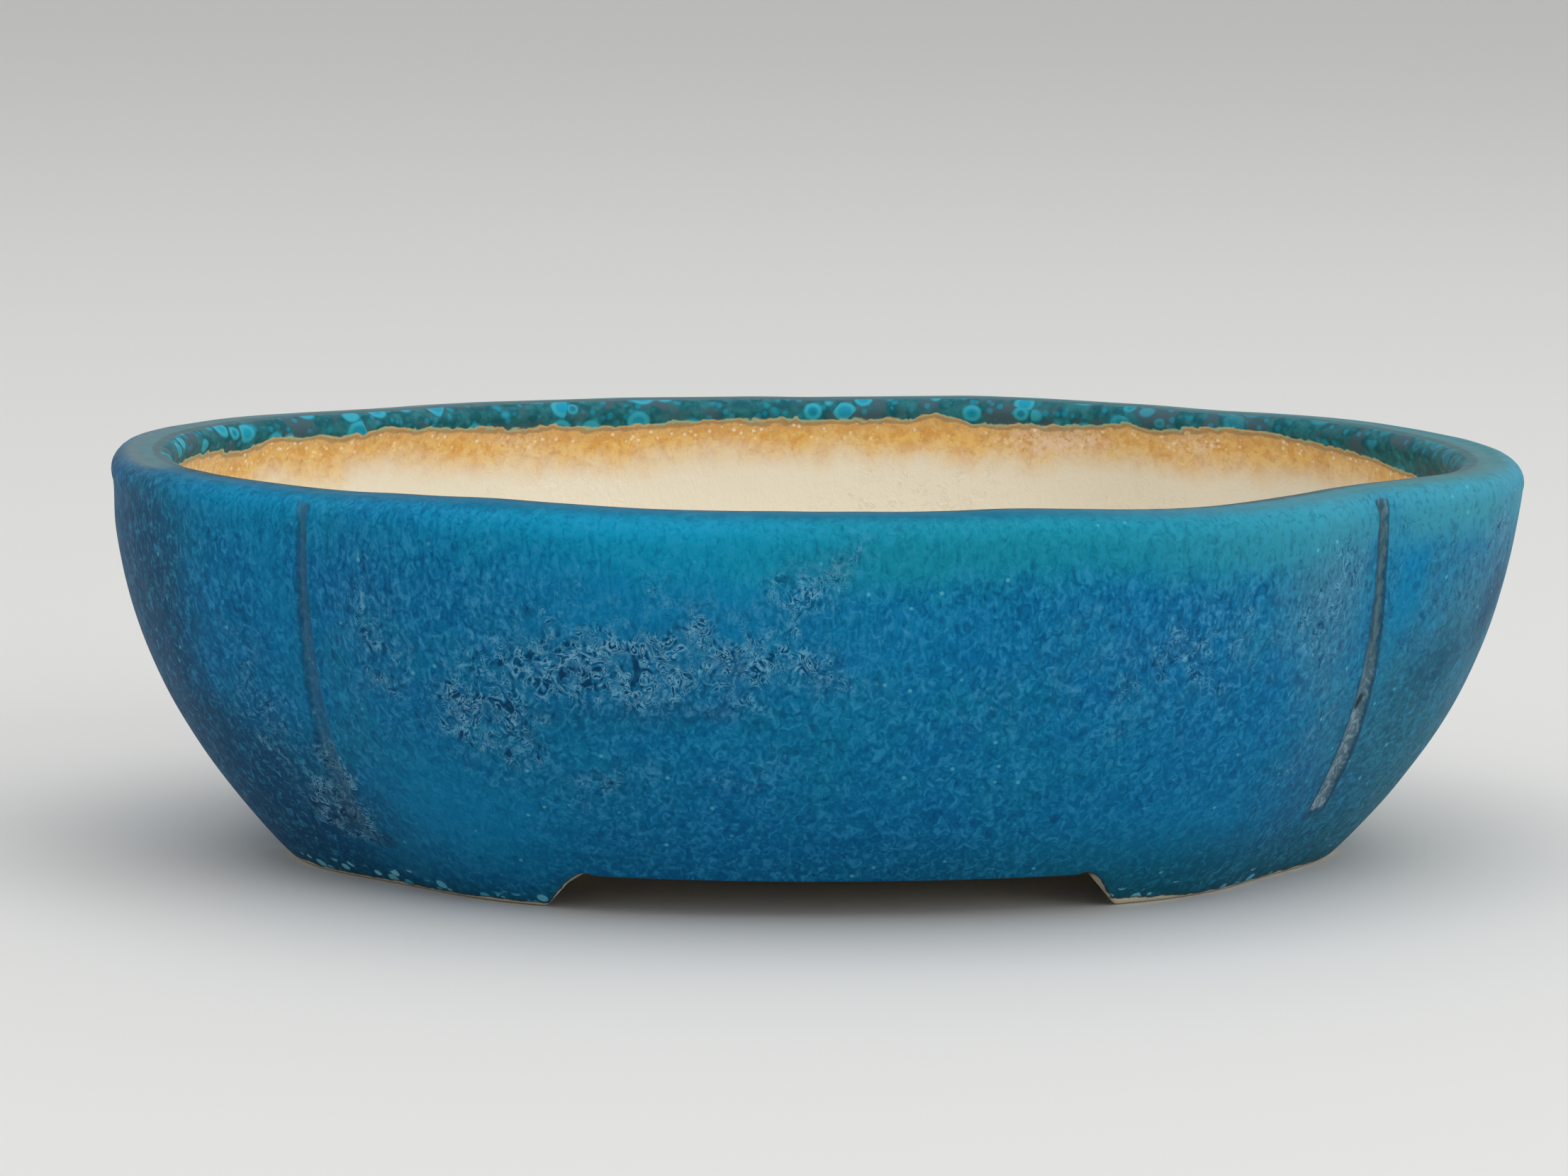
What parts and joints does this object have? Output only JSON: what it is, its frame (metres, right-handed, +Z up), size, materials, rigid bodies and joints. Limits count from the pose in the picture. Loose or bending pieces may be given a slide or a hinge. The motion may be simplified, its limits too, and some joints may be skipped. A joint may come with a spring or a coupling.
{
  "type": "bonsai pot",
  "caption": "Shallow glazed stoneware bonsai pot, an oval pinched into lobes by pressed creases, with a rolled-in lip, drain holes and low feet that wrap its ends.",
  "frame": {"origin": "on the ground under the middle of the pot, at the centre of its bounding box's underside", "axes": "+X along the pot's length to its right end, +Y from the front lobe to the back lobe, +Z up"},
  "size_m": [0.3, 0.24, 0.085],
  "materials": {
    "blue_glaze": "satin mottled blue glaze broken by pale and navy crystals, running to amber and cream inside",
    "foot_glaze": "the same glaze run down to a bare clay edge on the ground",
    "bare_clay": "unglazed fired stoneware, matte and finely gritty"
  },
  "bodies": {
    "root": {"wall": "blue_glaze", "floor_slab": "bare_clay", "left_foot": "foot_glaze", "right_foot": "foot_glaze"}
  },
  "joints": []
}
